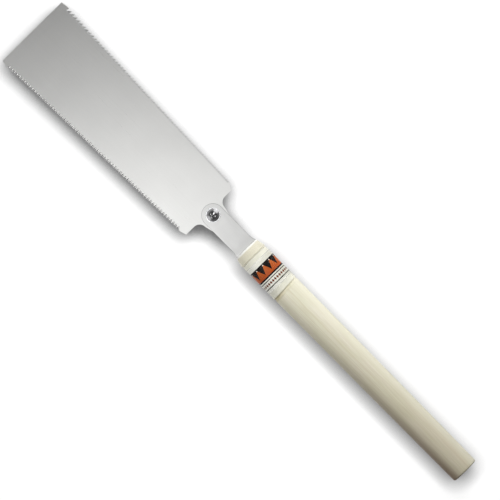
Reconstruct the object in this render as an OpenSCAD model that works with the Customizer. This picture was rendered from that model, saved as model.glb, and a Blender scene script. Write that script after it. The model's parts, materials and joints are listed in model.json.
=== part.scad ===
// A ryoba: a two-edged pull saw whose blade is clamped in a steel neck on an oval wooden handle.
// Lengths are in millimetres. X runs from the toe of the blade to the butt of the handle, which
// is the way the saw cuts. +Y is the rip edge and +Z the face that holds the clamp screw's head.

/* [Blade] */
// Length of each toothed edge
tooth_run = 240; // [180:1:300]
// Plain edge ahead of the first tooth
toe_land = 9; // [4:0.5:15]
// Sloping edge behind the last tooth
heel_land = 8; // [5:0.5:14]
// Width over the tooth tips at the toe
toe_w = 87; // [78:1:110]
// Width over the tooth tips at the heel
heel_w = 71.6; // [64:0.2:84]
// How far the toe corners lie inside the line of the tips
toe_drop = 1.2; // [0.2:0.1:3]
// How far the heel corner lies inside the line of the tips, on the rip edge
rip_heel_drop = 5.4; // [1:0.2:7]
// How far the heel corner lies inside the line of the tips, on the crosscut edge
cross_heel_drop = 2.4; // [1:0.2:7]
// Thickness of the blade
blade_t = 0.6; // [0.4:0.1:1]

/* [Teeth] */
// Number of rip teeth
rip_teeth = 68; // [40:1:90]
// Pitch of the last rip tooth as a share of the first one's
rip_grading = 0.64; // [0.5:0.01:1]
// Depth of the first rip tooth
rip_depth = 3.4; // [2:0.1:4]
// How far a rip tooth's face leans towards the handle, in degrees
rip_rake = 15; // [0:1:20]
// Share of the rip pitch that is the floor of the gullet
rip_floor = 0.22; // [0.1:0.01:0.3]
// Number of crosscut teeth
cross_teeth = 136; // [100:2:170]
// Depth of a crosscut tooth
cross_depth = 2.5; // [1.5:0.1:3]
// Place of a crosscut tooth's tip, as a share of its pitch
cross_lean = 0.62; // [0.5:0.01:0.8]

/* [Tang] */
// Width of the tang where it leaves the heel
tang_w = 28; // [25:0.5:33]
// Width of the tang's parallel tail
tang_tail_w = 16; // [13:0.5:18]
// Radius between the heel and the tang
tang_fillet = 8; // [4:0.5:10]
// Length over which the tang narrows
tang_taper_l = 24; // [18:1:27]
// Length of the tang's parallel tail
tang_tail_l = 10; // [6:0.5:12]
// Distance from the heel edge back to the clamp screw
screw_setback = 5; // [3:0.5:8]

/* [Holder] */
// Width of the neck
neck_w = 23.6; // [21:0.2:26]
// Distance from the clamp screw to the mouth of the handle
neck_l = 48; // [44:1:64]
// Width of the shoulders that seat on the mouth
shoulder_w = 27; // [26.5:0.1:28]
// Length over which the neck widens to the shoulders
flare_l = 8; // [4:0.5:12]
// Thickness of each leaf
leaf_t = 1.2; // [0.8:0.1:1.8]
// Thickness of the bar between the leaves inside the handle
tail_t = 2.4; // [1.6:0.1:3.6]
// Length of the step where the leaves spread over the bar
step_l = 3; // [2:0.5:4]
// Distance from the step to the mouth
step_setback = 1.5; // [1:0.5:2.5]
// Length of the tail inside the handle
tail_l = 62; // [50:1:80]
// Width of the tail at the mouth
tail_w = 16; // [13:0.5:18]
// Width of the tail at its end
tail_end_w = 11; // [8:0.5:13]
// Diameter of the rivets that hold the tail together
rivet_d = 3; // [2:0.5:4]
// Distance of each rivet from its end of the tail
rivet_inset = 9; // [6:0.5:14]
// Diameter of the pin that holds the tail in the handle
pin_d = 2.5; // [1.6:0.1:4]
// Distance from the mouth to the pin
pin_inset = 31; // [26:1:34]
// How far the ends of the pin lie below the surface of the wood
pin_recess = 0.4; // [0.2:0.1:2]

/* [Clamp screw] */
// Diameter of the screw
screw_d = 6; // [4:0.5:7]
// Diameter of the head
head_d = 13.6; // [11:0.2:15]
// Height of the head
head_h = 3.4; // [2.6:0.1:4.5]
// Height of the straight rim under the dome of the head
head_rim_h = 1; // [0.5:0.1:1.6]
// Length of each slot of the cross recess
recess_l = 7; // [5:0.2:8]
// Width of each slot of the cross recess
recess_w = 1.7; // [1.2:0.1:2.2]
// Depth of the cross recess
recess_depth = 2; // [1:0.1:2.3]
// Turn of the cross recess when the screw is tight, in degrees
recess_turn = 20; // [0:1:89]
// Diameter of the washer
washer_d = 15.4; // [12:0.2:18]
// Thickness of the washer
washer_t = 0.8; // [0.5:0.1:1.5]
// Width of the nut across its flats
nut_w = 10; // [9:0.5:14]
// Height of the nut
nut_h = 4; // [2.5:0.5:6]
// How far the screw's end stands out of the nut
screw_end = 0.6; // [0.3:0.1:2]

/* [Handle] */
// Length of the handle from mouth to butt
handle_l = 317; // [240:1:360]
// Width of the wood at the front
handle_w = 31.5; // [29:0.5:36]
// How much narrower the wood is at the butt
butt_taper = 1.5; // [-2:0.1:5]
// Thickness of the wood at the front
handle_t = 25.4; // [22:0.2:30]
// Radius of the edge of the butt
butt_round = 2; // [1:0.5:4]
// Length of the collar at the mouth
collar_l = 11.6; // [10:0.2:14]
// How far the collar's front edge lies inside the width of the wood, on each side
mouth_inset = 1.55; // [0.8:0.05:1.7]
// Bevel of the collar's front rim
rim_bevel = 0.7; // [0.3:0.1:1.2]
// How far the collar lies inside the width of the wood beside its bead, on each side
collar_inset = 0.25; // [0.1:0.05:0.6]
// Height of the bead above the collar
bead_h = 0.5; // [0.3:0.1:1]
// Length of the bead
bead_l = 4; // [3:0.5:5]
// How far the wooden spigot in the collar lies inside the width of the wood, on each side
spigot_inset = 3.25; // [2.8:0.05:4.5]
// Distance from the mouth to the groove behind the label
groove_at = 57; // [52:0.5:70]
// Width of the groove
groove_w = 2.4; // [1.6:0.2:4]
// Depth of the groove
groove_depth = 0.5; // [0.3:0.1:1]

/* [Label] */
// Distance from the mouth to the label
label_at = 16; // [15:0.5:18]
// Length of the label along the handle
label_l = 34; // [25:1:35]
// Thickness of the label
label_t = 0.12; // [0.08:0.01:0.2]
// Distance from the mouth to the front edge of the film
film_at = 2; // [1:0.2:3]
// Thickness of the film
film_t = 0.1; // [0.05:0.01:0.2]

/* [Fits] */
// Gap on each face of the blade between the leaves
blade_gap = 0.03; // [0.01:0.01:0.1]
// Gap beside the tang in its guide and around its end
guide_gap = 0.15; // [0.1:0.05:0.3]
// Gap around the screw in the slot of the tang
slot_gap = 0.15; // [0.1:0.05:0.3]
// Gap around the screw in the leaves and the washer
hole_gap = 0.1; // [0.05:0.05:0.2]
// Gap around the screw in the nut
thread_gap = 0.04; // [0.02:0.01:0.08]
// Gap around the rivets and the pin
pin_gap = 0.02; // [0.01:0.01:0.05]
// Gap around the tail in the wood
tail_gap = 0.1; // [0.05:0.05:0.3]
// Gap between the wood, the collar, the label and the film
wrap_gap = 0.02; // [0.01:0.01:0.05]

/* [Hidden] */
$fn = 64;

// How far a cutting shape runs past the surface that it cuts
overcut = 1;
// Number of straight pieces in each rounded outline
arc_steps = 12;
// Number of straight pieces in the profile of the collar's bead
bead_steps = 6;
// Number of sides of each oval ring
oval_sides = 48;
// Number of straight pieces in the taper of the handle
taper_steps = 6;
// How quickly the handle's taper sets in: 1 is straight and more is later
taper_power = 1.6;
// Length of the ramps on the wood and the film where they meet an edge
ramp_l = 1;
// Chamfer on the corners of the tang's end
tang_chamfer = 1.5;
// Chamfer on the end of the screw
screw_chamfer = 0.6;
// Number of sides of the nut
nut_sides = 6;

// Stations along the saw, measured from the toe
heel_x = toe_land + tooth_run + heel_land;
screw_x = heel_x + screw_setback;
taper_x = heel_x + tang_fillet;
guide_x = taper_x + tang_taper_l;
tang_end_x = guide_x + tang_tail_l;
mouth_x = screw_x + neck_l;
step_end_x = mouth_x - step_setback;
step_x = step_end_x - step_l;
flare_x = mouth_x - flare_l;
tail_end_x = mouth_x + tail_l;
collar_end_x = mouth_x + collar_l;
label_x = mouth_x + label_at;
label_end_x = label_x + label_l;
groove_x = mouth_x + groove_at;
film_x = mouth_x + film_at;
film_end_x = groove_x - groove_w / 2;
butt_x = mouth_x + handle_l;

// Heights from the middle plane of the blade
leaf_in = blade_t / 2 + blade_gap;
leaf_out = leaf_in + leaf_t;
tail_in = tail_t / 2;
tail_out = tail_in + leaf_t;
head_z = leaf_out + washer_t;
nut_z = -leaf_out - nut_h;

// Half widths of the turned pieces on the handle
wood_r = handle_w / 2;
butt_r = wood_r - butt_taper / 2;
mouth_r = wood_r - mouth_inset;
collar_r = wood_r - collar_inset;
bead_r = collar_r + bead_h;
spigot_r = wood_r - spigot_inset;
label_in_r = wood_r + wrap_gap;
label_out_r = label_in_r + label_t;
film_gap_r = wrap_gap + film_t;
oval = handle_t / handle_w;
bead_mid_x = collar_end_x - bead_l / 2 - ramp_l;

// The origin is on the surface that the saw lies on, midway between toe and butt
axis_z = oval * (max(bead_r, label_out_r) + film_gap_r);
middle_x = butt_x / 2;

// Half width of the blade at the line of the tooth tips
function tip_y(x) = (toe_w + (heel_w - toe_w) * (x - toe_land) / tooth_run) / 2;

// Station where rip tooth i starts: the pitches shrink by one ratio from tooth to tooth
rip_ratio = pow(rip_grading, 1 / rip_teeth);
function rip_share(i) = rip_grading == 1
    ? i / rip_teeth
    : (1 - pow(rip_ratio, i)) / (1 - rip_grading);
function rip_x(i) = toe_land + tooth_run * rip_share(i);
function rip_pitch(i) = rip_x(i + 1) - rip_x(i);
function rip_deep(i) = rip_depth * rip_pitch(i) / rip_pitch(0);

// One hooked rip tooth: the gullet's floor, then the tip that leans over the next gullet
function rip_tooth(i) = let (
    x = rip_x(i),
    deep = rip_deep(i),
    floor_end_x = x + rip_floor * rip_pitch(i),
    tip_x = x + rip_pitch(i) + (i < rip_teeth - 1 ? deep * tan(rip_rake) : 0)
) [
    [x, tip_y(x) - deep],
    [floor_end_x, tip_y(floor_end_x) - deep],
    [tip_x, tip_y(tip_x)]
];

// One crosscut tooth: its gullet, then its tip
cross_pitch = tooth_run / cross_teeth;
function cross_tooth(i) = let (
    x = toe_land + i * cross_pitch,
    tip_x = x + cross_lean * cross_pitch
) [
    [x, cross_depth - tip_y(x)],
    [tip_x, -tip_y(tip_x)]
];

function joined(lists) = [for (list = lists) each list];
function turned(list) = [for (i = [len(list) - 1 : -1 : 0]) list[i]];
function mirrored(list) = [for (p = turned(list)) [p[0], -p[1]]];
function arc(centre, r, from, to) = [
    for (i = [0 : arc_steps])
        let (angle = from + (to - from) * i / arc_steps)
        centre + r * [cos(angle), sin(angle)]
];

// The edge of the tang on the rip side, from the heel to the end
tang_edge = concat(
    arc([taper_x, tang_w / 2 + tang_fillet], tang_fillet, 180, 270),
    [
        [guide_x, tang_tail_w / 2],
        [tang_end_x - tang_chamfer, tang_tail_w / 2],
        [tang_end_x, tang_tail_w / 2 - tang_chamfer]
    ]
);

// The edge of the neck and its tail on the rip side, from the rounded end to the end of the tail
neck_edge = concat(
    turned(arc([screw_x, 0], neck_w / 2, 90, 180)),
    [
        [flare_x, neck_w / 2],
        for (i = [1 : arc_steps])
            let (share = i / arc_steps)
            [flare_x + flare_l * share, (neck_w + (shoulder_w - neck_w) * pow(share, 2)) / 2],
        [mouth_x, tail_w / 2],
        [tail_end_x, tail_end_w / 2]
    ]
);

// Places a piece that is drawn from the toe and from the middle plane of the blade
module placed() {
    translate([-middle_x, 0, axis_z]) children();
}

// An upright round hole or pin between two heights
module upright(x, d, low, high) {
    translate([x, 0, low]) cylinder(d = d, h = high - low);
}

// A flat outline between two heights
module plate(low, high) {
    translate([0, 0, low]) linear_extrude(high - low) children();
}

// An outline in X and Z, drawn across the neck
module across() {
    rotate([90, 0, 0]) linear_extrude(shoulder_w + 2 * overcut, center = true) children();
}

// The corners of the oval rings of a piece: each ring is [half width, X]
function ring_points(rings) = [
    for (ring = rings, side = [0 : oval_sides - 1])
        let (angle = 360 * side / oval_sides)
        [ring[1], ring[0] * cos(angle), ring[0] * oval * sin(angle)]
];

// The faces between one ring and the next
function band_faces(ring, next) = [
    for (side = [0 : oval_sides - 1])
        let (
            beside = (side + 1) % oval_sides,
            a = ring * oval_sides + side,
            b = next * oval_sides + side,
            c = next * oval_sides + beside,
            d = ring * oval_sides + beside
        )
        each [[a, b, c], [a, c, d]]
];

// A solid oval piece, from its front ring to its back one
module oval_bar(rings) {
    last = len(rings) - 1;
    front_cap = [for (side = [0 : oval_sides - 1]) side];
    back_cap = turned([for (side = front_cap) last * oval_sides + side]);
    polyhedron(
        points = ring_points(rings),
        faces = concat(
            [front_cap],
            joined([for (i = [0 : last - 1]) band_faces(i, i + 1)]),
            [back_cap]
        )
    );
}

// A hollow oval piece: its rings run back along the outside and return along the inside
module oval_sleeve(rings) {
    count = len(rings);
    polyhedron(
        points = ring_points(rings),
        faces = joined([for (i = [0 : count - 1]) band_faces(i, (i + 1) % count)])
    );
}

module neck_outline() {
    polygon(concat(neck_edge, mirrored(neck_edge)));
}

// The room for the tail in the wood
module tail_room() {
    half = tail_w / 2 + tail_gap;
    end_half = tail_end_w / 2 + tail_gap;
    end_x = tail_end_x + tail_gap;
    plate(-tail_out - tail_gap, tail_out + tail_gap) polygon([
        [mouth_x - overcut, half],
        [mouth_x, half],
        [end_x, end_half],
        [end_x, -end_half],
        [mouth_x, -half],
        [mouth_x - overcut, -half]
    ]);
}

// Stations of the tail's rivets
function rivet_stations() = [mouth_x + rivet_inset, tail_end_x - rivet_inset];

// The holes through the tail for its rivets and for the pin
module tail_holes() {
    reach = tail_out + overcut;
    for (x = rivet_stations()) upright(x, rivet_d + 2 * pin_gap, -reach, reach);
    upright(mouth_x + pin_inset, pin_d + 2 * pin_gap, -reach, reach);
}

module blade() {
    slot_w = screw_d + 2 * slot_gap;
    slot_reach = blade_t / 2 + overcut;
    outline = concat(
        [[0, toe_drop - toe_w / 2], [0, toe_w / 2 - toe_drop], [toe_land, toe_w / 2]],
        [[toe_land + rip_deep(0) * tan(rip_rake), tip_y(toe_land + rip_deep(0) * tan(rip_rake))]],
        joined([for (i = [0 : rip_teeth - 1]) rip_tooth(i)]),
        [[heel_x, heel_w / 2 - rip_heel_drop]],
        tang_edge,
        mirrored(tang_edge),
        [[heel_x, cross_heel_drop - heel_w / 2]],
        turned(joined([for (i = [0 : cross_teeth - 1]) cross_tooth(i)])),
        [[toe_land, -toe_w / 2]]
    );
    color([0.80, 0.80, 0.78]) placed() difference() {
        plate(-blade_t / 2, blade_t / 2) polygon(outline);
        upright(screw_x, slot_w + slot_gap, -slot_reach, slot_reach);
        translate([screw_x, -slot_w / 2, -slot_reach])
            cube([tang_end_x - screw_x + overcut, slot_w, 2 * slot_reach]);
    }
}

// A leaf of the neck: it lies on the blade, then steps out over the bar
module leaf() {
    start_x = screw_x - neck_w / 2 - overcut;
    end_x = tail_end_x + overcut;
    difference() {
        intersection() {
            plate(0, tail_out + overcut) neck_outline();
            across() polygon([
                [start_x, leaf_in], [step_x, leaf_in], [step_end_x, tail_in], [end_x, tail_in],
                [end_x, tail_out], [step_end_x, tail_out], [step_x, leaf_out], [start_x, leaf_out]
            ]);
        }
        upright(screw_x, screw_d + 2 * hole_gap, 0, tail_out + overcut);
        tail_holes();
    }
}

module front_leaf() {
    color([0.78, 0.78, 0.77]) placed() leaf();
}

module back_leaf() {
    color([0.78, 0.78, 0.77]) placed() mirror([0, 0, 1]) leaf();
}

// The bar between the leaves: thin and forked around the tang in front, thick in the handle
module tail_bar() {
    fork_x = guide_x + guide_gap;
    pocket_w = tang_tail_w + 2 * guide_gap;
    pocket_end_x = tang_end_x + guide_gap;
    end_x = tail_end_x + overcut;
    reach = tail_in + overcut;
    color([0.70, 0.70, 0.69]) placed() difference() {
        intersection() {
            plate(-reach, reach) neck_outline();
            across() polygon([
                [fork_x, leaf_in], [step_x, leaf_in], [step_end_x, tail_in], [end_x, tail_in],
                [end_x, -tail_in], [step_end_x, -tail_in], [step_x, -leaf_in], [fork_x, -leaf_in]
            ]);
        }
        translate([fork_x - overcut, -pocket_w / 2, -reach])
            cube([pocket_end_x - fork_x + overcut, pocket_w, 2 * reach]);
        tail_holes();
    }
}

module tail_rivets() {
    color([0.66, 0.66, 0.66]) placed()
        for (x = rivet_stations()) upright(x, rivet_d, -tail_out, tail_out);
}

// The pin stops short of the wood's surface, so that the label lies flat over it
module handle_pin() {
    half = wood_r * oval - pin_recess;
    color([0.60, 0.60, 0.60]) placed() upright(mouth_x + pin_inset, pin_d, -half, half);
}

module clamp_screw() {
    dome_h = head_h - head_rim_h;
    dome_r = (pow(head_d / 2, 2) + pow(dome_h, 2)) / (2 * dome_h);
    top_z = head_z + head_h;
    end_z = nut_z - screw_end;
    color([0.55, 0.55, 0.56]) placed() translate([screw_x, 0, 0]) difference() {
        union() {
            intersection() {
                translate([0, 0, head_z]) cylinder(d = head_d, h = head_h + overcut);
                translate([0, 0, top_z - dome_r]) sphere(r = dome_r);
            }
            translate([0, 0, end_z + screw_chamfer])
                cylinder(d = screw_d, h = head_z - end_z - screw_chamfer);
            translate([0, 0, end_z])
                cylinder(d1 = screw_d - 2 * screw_chamfer, d2 = screw_d, h = screw_chamfer);
        }
        for (turn = [0, 90])
            rotate([0, 0, recess_turn + turn])
                translate([-recess_l / 2, -recess_w / 2, top_z - recess_depth])
                    cube([recess_l, recess_w, recess_depth + overcut]);
    }
}

module screw_washer() {
    color([0.74, 0.74, 0.75]) placed() difference() {
        upright(screw_x, washer_d, leaf_out, leaf_out + washer_t);
        upright(screw_x, screw_d + 2 * hole_gap, leaf_out - overcut, leaf_out + washer_t + overcut);
    }
}

// The nut on the back leaf
module clamp_nut() {
    corner_d = nut_w / cos(180 / nut_sides);
    color([0.66, 0.66, 0.67]) placed() difference() {
        translate([screw_x, 0, nut_z]) cylinder(d = corner_d, h = nut_h, $fn = nut_sides);
        upright(screw_x, screw_d + 2 * thread_gap, nut_z - overcut, nut_z + nut_h + overcut);
    }
}

// Half width of the wood at a share of the way from the groove to the butt
function taper_r(share) = wood_r - (wood_r - butt_r) * pow(share, taper_power);

module handle() {
    taper_from_x = groove_x + groove_w / 2;
    taper_to_x = butt_x - butt_round;
    half = wood_r * oval;
    rings = concat(
        [
            [spigot_r, mouth_x],
            [spigot_r, collar_end_x],
            [collar_r - wrap_gap, collar_end_x],
            [wood_r, collar_end_x + ramp_l],
            [wood_r, groove_x - groove_w / 2],
            [wood_r - groove_depth, groove_x]
        ],
        [
            for (i = [0 : taper_steps])
                let (share = i / taper_steps)
                [taper_r(share), taper_from_x + (taper_to_x - taper_from_x) * share]
        ],
        [
            for (i = [1 : taper_steps])
                let (angle = 90 * i / taper_steps)
                [butt_r - butt_round * (1 - cos(angle)), taper_to_x + butt_round * sin(angle)]
        ]
    );
    color([0.90, 0.87, 0.77]) placed() difference() {
        oval_bar(rings);
        tail_room();
        upright(mouth_x + pin_inset, pin_d + 2 * pin_gap, -half - overcut, half + overcut);
    }
}

// The outside of the collar from the front edge of the film back: [half width, X]
function bead_point(share) = [
    collar_r + bead_h * sin(180 * share),
    bead_mid_x + bead_l * (share - 0.5)
];
collar_slope = (collar_r - mouth_r) / (bead_point(0)[1] - mouth_x - rim_bevel);
function collar_at(x) = mouth_r + collar_slope * (x - mouth_x - rim_bevel);
collar_back = concat(
    [for (i = [0 : bead_steps]) bead_point(i / bead_steps)],
    [[collar_r, collar_end_x - wrap_gap]]
);

module mouth_collar() {
    inside_r = spigot_r + wrap_gap;
    color([0.92, 0.90, 0.82]) placed() oval_sleeve(concat(
        [[inside_r, mouth_x], [mouth_r - rim_bevel, mouth_x], [mouth_r, mouth_x + rim_bevel]],
        collar_back,
        [[inside_r, collar_end_x - wrap_gap]]
    ));
}

module label_band() {
    color([0.96, 0.95, 0.92]) placed() oval_sleeve([
        [label_in_r, label_x],
        [label_out_r, label_x],
        [label_out_r, label_end_x],
        [label_in_r, label_end_x]
    ]);
}

// The clear film is drawn over the collar, the label and the wood, and follows their outline
module film_sleeve() {
    under = concat(
        [[collar_at(film_x), film_x]],
        collar_back,
        [
            [wood_r, collar_end_x + ramp_l],
            [wood_r, label_x - ramp_l],
            [label_out_r, label_x - wrap_gap],
            [label_out_r, label_end_x + wrap_gap],
            [wood_r, label_end_x + ramp_l],
            [wood_r, film_end_x]
        ]
    );
    color([0.95, 0.95, 0.93, 0.25]) placed() oval_sleeve(concat(
        [for (p = under) [p[0] + film_gap_r, p[1]]],
        [for (p = turned(under)) [p[0] + wrap_gap, p[1]]]
    ));
}

blade();
front_leaf();
back_leaf();
tail_bar();
tail_rivets();
handle_pin();
clamp_screw();
screw_washer();
clamp_nut();
handle();
mouth_collar();
label_band();
film_sleeve();
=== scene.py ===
"""The looks of a ryoba saw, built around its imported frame.

Shapes are in millimetres: x is measured from the toe of the blade, y from the saw's long axis and z from
its middle plane. make() brings them into the frame, which is in metres.
"""
import json
import math

import bmesh
import bpy
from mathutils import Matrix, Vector

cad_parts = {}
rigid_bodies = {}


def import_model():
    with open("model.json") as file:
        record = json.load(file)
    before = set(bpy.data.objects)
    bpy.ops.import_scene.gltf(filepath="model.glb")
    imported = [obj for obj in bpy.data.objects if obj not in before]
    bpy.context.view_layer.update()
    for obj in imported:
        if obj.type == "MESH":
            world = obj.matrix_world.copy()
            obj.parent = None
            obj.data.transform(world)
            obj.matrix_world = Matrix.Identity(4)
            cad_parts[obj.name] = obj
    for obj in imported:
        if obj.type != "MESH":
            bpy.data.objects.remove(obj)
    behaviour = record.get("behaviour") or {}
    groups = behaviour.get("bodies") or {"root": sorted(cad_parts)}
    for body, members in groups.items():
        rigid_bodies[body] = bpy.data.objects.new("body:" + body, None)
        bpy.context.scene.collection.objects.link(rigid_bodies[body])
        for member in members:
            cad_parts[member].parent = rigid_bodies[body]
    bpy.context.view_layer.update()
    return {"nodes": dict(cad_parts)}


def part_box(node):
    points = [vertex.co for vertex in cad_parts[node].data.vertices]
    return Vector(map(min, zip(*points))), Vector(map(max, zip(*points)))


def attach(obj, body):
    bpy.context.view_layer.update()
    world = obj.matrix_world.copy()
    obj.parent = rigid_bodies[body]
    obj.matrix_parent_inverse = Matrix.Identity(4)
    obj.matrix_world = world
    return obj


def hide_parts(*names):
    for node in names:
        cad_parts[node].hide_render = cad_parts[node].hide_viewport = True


for thing in list(bpy.data.objects):
    bpy.data.objects.remove(thing, do_unlink=True)

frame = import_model()
nodes = frame["nodes"]
scene = bpy.context.scene

MM = 0.001
blade_low, blade_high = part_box("blade")
TOE_X = blade_low.x
PLANE_Z = (blade_low.z + blade_high.z) / 2

# Blade
TOOTH_RUN = 240
TOE_LAND = 9
HEEL_LAND = 8
TOE_W = 87
HEEL_W = 71.6
TOE_DROP = 1.2
RIP_HEEL_DROP = 5.4
CROSS_HEEL_DROP = 2.4
BLADE_HALF = 0.3
RIP_TEETH = 68
RIP_GRADING = 0.64
RIP_DEPTH = 3.4
RIP_RAKE = math.tan(math.radians(15))
RIP_FLOOR = 0.22
RIP_SET = 0.05
CROSS_TEETH = 136
CROSS_DEPTH = 2.5
CROSS_LEAN = 0.62
CROSS_TIP_T = 0.06
CROSS_TIP_L = 1.1
CROSS_RIDGE = 0.3
GULLET_CUT = 0.095
GULLET_HALF = 0.1
LEFT_CUT = 0.03
LEFT_LOW_CUT = 0.02
GRIND_L = 1.3
GRIND_LOW = 0.2
TANG_HALF = 14
TANG_TAIL_HALF = 8
TANG_FILLET = 8
FILLET_STEPS = 24
TANG_CHAMFER = 1.5
SLOT_HALF = 3.15
SLOT_ROUND = 3.225
SLOT_STEPS = 40

# Stations along the saw
HEEL_X = TOE_LAND + TOOTH_RUN + HEEL_LAND
SCREW_X = HEEL_X + 5
TAPER_X = HEEL_X + TANG_FILLET
GUIDE_X = TAPER_X + 24
TANG_END_X = GUIDE_X + 10
MOUTH_X = SCREW_X + 48
STEP_END_X = MOUTH_X - 1.5
STEP_X = STEP_END_X - 7.5
FLARE_L = 8
FLARE_X = MOUTH_X - FLARE_L
TAIL_END_X = MOUTH_X + 62
COLLAR_END_X = MOUTH_X + 11.6
LABEL_X = MOUTH_X + 16
LABEL_END_X = LABEL_X + 34
GROOVE_X = MOUTH_X + 57
FILM_X = MOUTH_X + 2
FILM_END_X = GROOVE_X - 1.2
BUTT_X = MOUTH_X + 317

# Neck, with its tail in the handle
NECK_HALF = 11.8
SHOULDER_HALF = 13.5
TAIL_HALF = 8
TAIL_END_HALF = 5.5
LEAF_IN = 0.33
LEAF_T = 1.2
LEAF_OUT = LEAF_IN + LEAF_T
LEAF_RISE = 0.2
LEAF_EDGE = 0.25
LEAF_EDGE_STEPS = 3
LEAF_END_STEPS = 32
FLARE_STEPS = 12
BAR_STEP_L = 3
TAIL_IN = 1.2
TAIL_OUT = TAIL_IN + LEAF_T
TAIL_RAMP = 6
RAMP_STEPS = 8
TAIL_GAP = 0.1
RIVET_HOLE_R = 1.52
RIVET_INSET = 9
PIN_HOLE_R = 1.27
PIN_HALF = 12.3
PIN_INSET = 31
HOLE_SIDES = 48
CUT_SLACK = 1e-5
MITRE_LIMIT = 0.3

# Washer, screw and nut
TURNED_SIDES = 96
HAIRLINE = 0.01
HOLE_R = 3.1
WASHER_R = 7.7
WASHER_T = 0.8
WASHER_EDGE = 0.22
WASHER_STEPS = 4
HEAD_R = 6.8
HEAD_H = 3.4
HEAD_RIM_H = 1.0
HEAD_BREAK = 0.12
HEAD_FOOT = 0.15
HEAD_Z = LEAF_OUT + WASHER_T
HEAD_TOP_Z = HEAD_Z + HEAD_H
DOME_RINGS = 56
RECESS_TURN = math.radians(20)
RECESS_HALF = 0.92
RECESS_WALL = 0.32
RECESS_REACH = 3.45
RECESS_END = 0.5
RECESS_DEPTH = 1.95
RECESS_SLOPE = 0.28
SCREW_R = 3.0
SCREW_ROOT_R = 2.6
SCREW_PITCH = 1.0
SCREW_END_Z = -LEAF_OUT - 4.6
SCREW_CHAMFER = 0.6
THREAD_STEPS = 12
THREAD_TOP_Z = HEAD_Z - 0.2
THREAD_LOW_Z = SCREW_END_Z + 0.05
THREAD_FADE = 0.8
THREAD_STEEP = 1.3
THREAD_CREST = 0.15
NUT_HALF = 5.0
NUT_H = 4.0
NUT_BORE_GAP = 0.04
NUT_LEAD_IN = 0.35
NUT_FLAT_INSET = 0.15
NUT_CHAMFER = 0.55
NUT_STEPS = 5
NUT_STEP = 0.02
NUT_SPARE = 1.0
NUT_SIDES = 120

# Handle; BEAD and RIDGE are profiles of [along, rise] about the collar's bead and the groove
OVAL = 25.4 / 31.5
OVAL_SIDES = 160
WOOD_R = 15.75
BUTT_R = 15.0
BUTT_ROUND = 2.0
BUTT_STEPS = 8
BUTT_RINGS = (0.8, 0.4)
TAPER_POWER = 1.6
TAPER_STEPS = 30
PLAIN_SETBACK = 2
PLAIN_STEP = 4
PLAIN_RINGS = 10
MOUTH_R = WOOD_R - 1.55
COLLAR_R = WOOD_R - 0.25
SHOULDER_L = 1.0
SHOULDER_STEPS = 4
SPIGOT_R = WOOD_R - 3.25
SPIGOT_BEVEL = 0.3
FRONT_SHARE = 0.9
FIT = 0.02
RIM_BEVEL = 0.7
RIM_SHARE = 0.85
RIM_STEP = 0.08
COLLAR_STEP = 1.2
BEAD = [
    (-2.3, 0.0), (-2.0, 0.03), (-1.7, 0.11), (-1.3, 0.28), (-0.9, 0.45), (-0.5, 0.57), (0.0, 0.63),
    (0.3, 0.62), (0.7, 0.5), (1.05, 0.3), (1.4, 0.07), (1.75, -0.11), (1.95, -0.16)]
BEAD_MID_X = COLLAR_END_X - 2.0
BEAD_START_X = BEAD_MID_X + BEAD[0][0]
RIDGE = [
    (-4.4, 0.0), (-3.8, 0.03), (-3.2, 0.11), (-2.6, 0.23), (-2.1, 0.32), (-1.7, 0.36), (-1.3, 0.31),
    (-1.0, 0.15), (-0.7, -0.15), (-0.4, -0.45), (-0.1, -0.67), (0.3, -0.75), (0.7, -0.66), (1.1, -0.43),
    (1.5, -0.2), (1.9, -0.05), (2.3, 0.0)]
RIDGE_LEAN = -0.066
RIDGE_REACH = 6.5
LABEL_IN_R = WOOD_R + FIT
LABEL_OUT_R = LABEL_IN_R + 0.12
LABEL_STEPS = 8
FILM_GAP = 0.02
FILM_T = 0.1
FILM_STEP = 1.5
FILM_SLOPE_L = 1.0
TRIM_SHARP = 35


def make(name, points, faces, body, replaced, material, sharp=40.0, uv=None):
    """A piece from points in millimetres, with hard edges where faces bend by sharp degrees or more.

    It rides on a body, takes a slot's finish and stands for a CAD node.
    """
    mesh = bpy.data.meshes.new(name)
    mesh.from_pydata([(station(x), y * MM, PLANE_Z + z * MM) for x, y, z in points], [], faces)
    if uv:
        layer = mesh.uv_layers.new(name="print")
        for loop, value in zip(layer.data, [pair for face in uv for pair in face]):
            loop.uv = value
    work = bmesh.new()
    work.from_mesh(mesh)
    bmesh.ops.recalc_face_normals(work, faces=work.faces)
    for face in work.faces:
        face.smooth = sharp > 0
    for edge in work.edges:
        edge.smooth = len(edge.link_faces) == 2 and edge.calc_face_angle(math.pi) < math.radians(sharp)
    work.to_mesh(mesh)
    work.free()
    piece = bpy.data.objects.new(name, mesh)
    scene.collection.objects.link(piece)
    mesh.materials.append(material)
    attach(piece, body)
    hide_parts(replaced)
    return piece


def even_normals(piece):
    """Lets flat faces keep their own normals beside rounded edges."""
    piece.modifiers.new("even_normals", "WEIGHTED_NORMAL").keep_sharp = True


def station(x):
    """A station along the saw, in the frame's metres."""
    return TOE_X + x * MM


def arc(cx, cy, r, start, end, steps):
    """Points on an arc between two angles in degrees."""
    angles = [math.radians(start + (end - start) * i / steps) for i in range(steps + 1)]
    return [(cx + r * math.cos(a), cy + r * math.sin(a)) for a in angles]


def circle(cx, r):
    """Points on a circle about a place on the long axis."""
    return arc(cx, 0, r, 0, 360, HOLE_SIDES)[:-1]


def band(low, high):
    """Faces between two rings of as many points."""
    count = len(low)
    return [[low[i], low[(i + 1) % count], high[(i + 1) % count], high[i]] for i in range(count)]


def smooth_step(share):
    """Goes from 0 to 1 with a soft start and end."""
    share = min(max(share, 0.0), 1.0)
    return share * share * (3 - 2 * share)


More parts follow.
